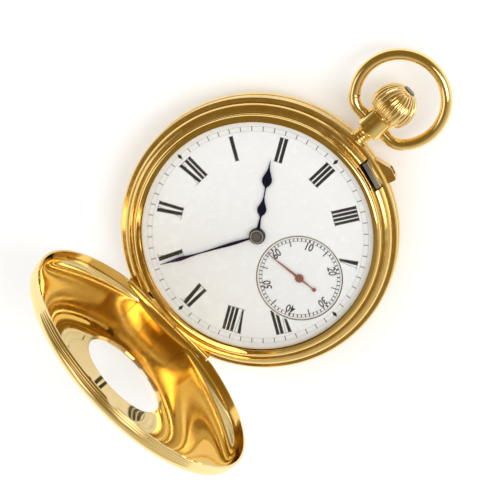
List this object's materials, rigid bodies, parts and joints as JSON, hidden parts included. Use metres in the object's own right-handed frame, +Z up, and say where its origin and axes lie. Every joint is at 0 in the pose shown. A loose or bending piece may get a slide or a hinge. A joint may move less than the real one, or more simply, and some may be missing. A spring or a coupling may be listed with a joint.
{
  "type": "pocket watch",
  "caption": "Gold half hunter pocket watch, lid open: hinged window lid and back, ribbed crown, bow, enamel dial with sunk seconds, and a full lever movement.",
  "frame": {"origin": "centre of the flat that the back cover rests on", "axes": "+Z up out of the dial, +X towards the crown and bow, +Y towards twelve on the dial"},
  "size_m": [0.0767, 0.052, 0.0584],
  "materials": {
    "gold": "polished gold",
    "glass": "clear polished",
    "steel": "brushed",
    "blued_steel": "heat-blued",
    "gilt_brass": "matt gilt",
    "ruby": "polished",
    "enamel": "glossy white",
    "copper": "satin"
  },
  "bodies": {
    "case": {"case_middle": "gold", "bezel": "gold", "crystal": "glass", "pendant": "gold", "push_guard": "gold", "spring_screws": "blued_steel", "case_screws": "blued_steel", "lid_hinge_pin": "gold", "back_hinge_pin": "gold", "cuvette_hinge_pin": "gold", "main_plate": "gilt_brass", "pillars": "gilt_brass", "three_quarter_plate": "gilt_brass", "plate_screws": "blued_steel", "balance_cock": "gilt_brass", "escapement_bridge": "gilt_brass", "jewels": "ruby", "dial": "enamel", "seconds_dial": "enamel"},
    "lid": {"front_lid": "gold", "lid_glass": "glass"},
    "back": {"back_cover": "gold"},
    "inner_cover": {"cuvette": "gold"},
    "bow_ring": {"bow": "gold"},
    "crown_slide": {"pendant_sleeve": "steel"},
    "crown_and_stem": {"crown": "gold", "crown_plug": "steel", "winding_stem": "steel"},
    "lid_catch": {"catch_spring": "steel"},
    "lid_lifter": {"fly_spring": "steel"},
    "set_pin": {"push_piece": "gold"},
    "setting_bar": {"rocking_bar": "steel"},
    "winding_gear": {"winding_pinion": "steel"},
    "crown_gear": {"crown_wheel": "steel"},
    "idler_to_barrel": {"winding_idler": "steel"},
    "idler_to_hands": {"setting_idler": "steel"},
    "ratchet": {"ratchet_wheel": "steel", "barrel_arbor": "steel"},
    "click_pawl": {"click": "steel"},
    "mainspring_barrel": {"barrel": "gilt_brass", "mainspring": "blued_steel"},
    "centre_train": {"centre_wheel": "gilt_brass", "centre_arbor": "steel", "cannon_pinion": "steel", "minute_hand": "blued_steel"},
    "third_train": {"third_wheel": "gilt_brass", "third_arbor": "steel"},
    "seconds_train": {"fourth_wheel": "gilt_brass", "fourth_arbor": "steel", "seconds_hand": "copper"},
    "escape_train": {"escape_wheel": "steel", "escape_arbor": "steel"},
    "lever": {"pallet_lever": "steel"},
    "balance": {"balance_wheel": "gilt_brass", "balance_staff": "steel", "hairspring": "blued_steel"},
    "rate_index": {"regulator": "steel"},
    "motion_wheel": {"minute_wheel": "gilt_brass"},
    "hour_train": {"hour_wheel": "gilt_brass", "hour_hand": "blued_steel"}
  },
  "joints": [
    {"name": "lid_hinge", "type": "hinge", "parent": "case", "child": "lid", "pos_m": [-0.0241, 0, 0.0086], "axis": [0, 1, 0], "range_deg": [0, 92]},
    {"name": "back_hinge", "type": "hinge", "parent": "case", "child": "back", "pos_m": [-0.0241, 0, 0.0046], "axis": [0, 1, 0], "range_deg": [0, 95]},
    {"name": "inner_cover_hinge", "type": "hinge", "parent": "case", "child": "inner_cover", "pos_m": [-0.0224, 0, 0.0044], "axis": [0, 1, 0], "range_deg": [0, 82]},
    {"name": "bow_swing", "type": "hinge", "parent": "case", "child": "bow_ring", "pos_m": [0.03005, 0, 0.00655], "axis": [0, 1, 0], "range_deg": [-80, 80]},
    {"name": "crown_press", "type": "slide", "parent": "case", "child": "crown_slide", "axis": [-1, 0, 0], "range_m": [0, 0.0005], "stiffness_N_per_m": 2000, "springref_m": -0.0005},
    {"name": "crown_turn", "type": "hinge", "parent": "crown_slide", "child": "crown_and_stem", "pos_m": [0.03005, 0, 0.00655], "axis": [1, 0, 0], "continuous": true},
    {"name": "catch_flex", "type": "hinge", "parent": "case", "child": "lid_catch", "pos_m": [0.01131, -0.02128, 0.0065], "axis": [0, 0, 1], "range_deg": [0, 1.4]},
    {"name": "lifter_flex", "type": "hinge", "parent": "case", "child": "lid_lifter", "pos_m": [-0.01917, -0.01393, 0.006], "axis": [0, 0, 1], "range_deg": [-1.2, 0]},
    {"name": "pin_press", "type": "slide", "parent": "case", "child": "set_pin", "axis": [-0.9511, 0.309, 0], "range_m": [0, 0.0005], "stiffness_N_per_m": 1000, "springref_m": -0.0005},
    {"name": "bar_rock", "type": "hinge", "parent": "case", "child": "setting_bar", "pos_m": [0.0094, 0, 0.00824], "axis": [0, 0, 1], "range_deg": [-1.5, 0]},
    {"name": "winding_pinion_turn", "type": "hinge", "parent": "case", "child": "winding_gear", "pos_m": [0.0123, 0, 0.00655], "axis": [1, 0, 0], "continuous": true},
    {"name": "crown_wheel_turn", "type": "hinge", "parent": "case", "child": "crown_gear", "pos_m": [0.0094, 0, 0.0079], "axis": [0, 0, 1], "continuous": true},
    {"name": "winding_idler_turn", "type": "hinge", "parent": "setting_bar", "child": "idler_to_barrel", "pos_m": [0.01001, 0.00525, 0.0079], "axis": [0, 0, 1], "continuous": true},
    {"name": "setting_idler_turn", "type": "hinge", "parent": "setting_bar", "child": "idler_to_hands", "pos_m": [0.00802, -0.0051, 0.0079], "axis": [0, 0, 1], "continuous": true},
    {"name": "ratchet_turn", "type": "hinge", "parent": "case", "child": "ratchet", "pos_m": [0.00423, 0.00795, 0.0079], "axis": [0, 0, 1], "continuous": true},
    {"name": "click_lift", "type": "hinge", "parent": "case", "child": "click_pawl", "pos_m": [-0.00218, 0.01165, 0.0079], "axis": [0, 0, 1], "range_deg": [0, 12], "stiffness_Nm_per_rad": 0.0001, "springref_deg": -5.73},
    {"name": "barrel_turn", "type": "hinge", "parent": "case", "child": "mainspring_barrel", "pos_m": [0.00423, 0.00795, 0.0053], "axis": [0, 0, -1], "continuous": true},
    {"name": "centre_turn", "type": "hinge", "parent": "case", "child": "centre_train", "pos_m": [0, 0, 0.00635], "axis": [0, 0, -1], "continuous": true},
    {"name": "third_turn", "type": "hinge", "parent": "case", "child": "third_train", "pos_m": [0.00363, -0.00622, 0.0053], "axis": [0, 0, -1], "continuous": true},
    {"name": "seconds_turn", "type": "hinge", "parent": "case", "child": "seconds_train", "pos_m": [0, -0.01114, 0.0058], "axis": [0, 0, -1], "continuous": true},
    {"name": "escape_turn", "type": "hinge", "parent": "case", "child": "escape_train", "pos_m": [-0.00607, -0.01221, 0.0063], "axis": [0, 0, -1], "continuous": true},
    {"name": "lever_swing", "type": "hinge", "parent": "case", "child": "lever", "pos_m": [-0.00802, -0.00908, 0.0063], "axis": [0, 0, 1], "range_deg": [-5, 5]},
    {"name": "balance_swing", "type": "hinge", "parent": "case", "child": "balance", "pos_m": [-0.01067, -0.00484, 0.0042], "axis": [0, 0, 1], "range_deg": [-130, 130], "stiffness_Nm_per_rad": 0.0000003},
    {"name": "index_turn", "type": "hinge", "parent": "case", "child": "rate_index", "pos_m": [-0.01067, -0.00484, 0.0028], "axis": [0, 0, 1], "range_deg": [-20, 20]},
    {"name": "minute_wheel_turn", "type": "hinge", "parent": "case", "child": "motion_wheel", "pos_m": [0.00271, -0.00347, 0.0079], "axis": [0, 0, -1], "continuous": true},
    {"name": "hour_turn", "type": "hinge", "parent": "case", "child": "hour_train", "pos_m": [0, 0, 0.0084], "axis": [0, 0, -1], "continuous": true}
  ],
  "couplings": [
    {"joint": "inner_cover_hinge", "follows": "back_hinge", "ratio": 0.85},
    {"joint": "lifter_flex", "follows": "lid_hinge", "ratio": -0.012},
    {"joint": "catch_flex", "follows": "crown_press", "rad_per_m": 46.995},
    {"joint": "bar_rock", "follows": "pin_press", "rad_per_m": -52.36},
    {"joint": "winding_pinion_turn", "follows": "crown_turn", "ratio": 1},
    {"joint": "crown_wheel_turn", "follows": "crown_turn", "ratio": -0.375},
    {"joint": "winding_idler_turn", "follows": "crown_turn", "ratio": 0.75},
    {"joint": "setting_idler_turn", "follows": "crown_turn", "ratio": 0.75},
    {"joint": "ratchet_turn", "follows": "crown_turn", "ratio": -0.28571},
    {"joint": "third_turn", "follows": "seconds_turn", "ratio": -0.13333},
    {"joint": "centre_turn", "follows": "seconds_turn", "ratio": 0.016667},
    {"joint": "barrel_turn", "follows": "seconds_turn", "ratio": -0.0020833},
    {"joint": "escape_turn", "follows": "seconds_turn", "ratio": -10},
    {"joint": "minute_wheel_turn", "follows": "seconds_turn", "ratio": -0.0055556},
    {"joint": "hour_turn", "follows": "seconds_turn", "ratio": 0.0013889}
  ]
}
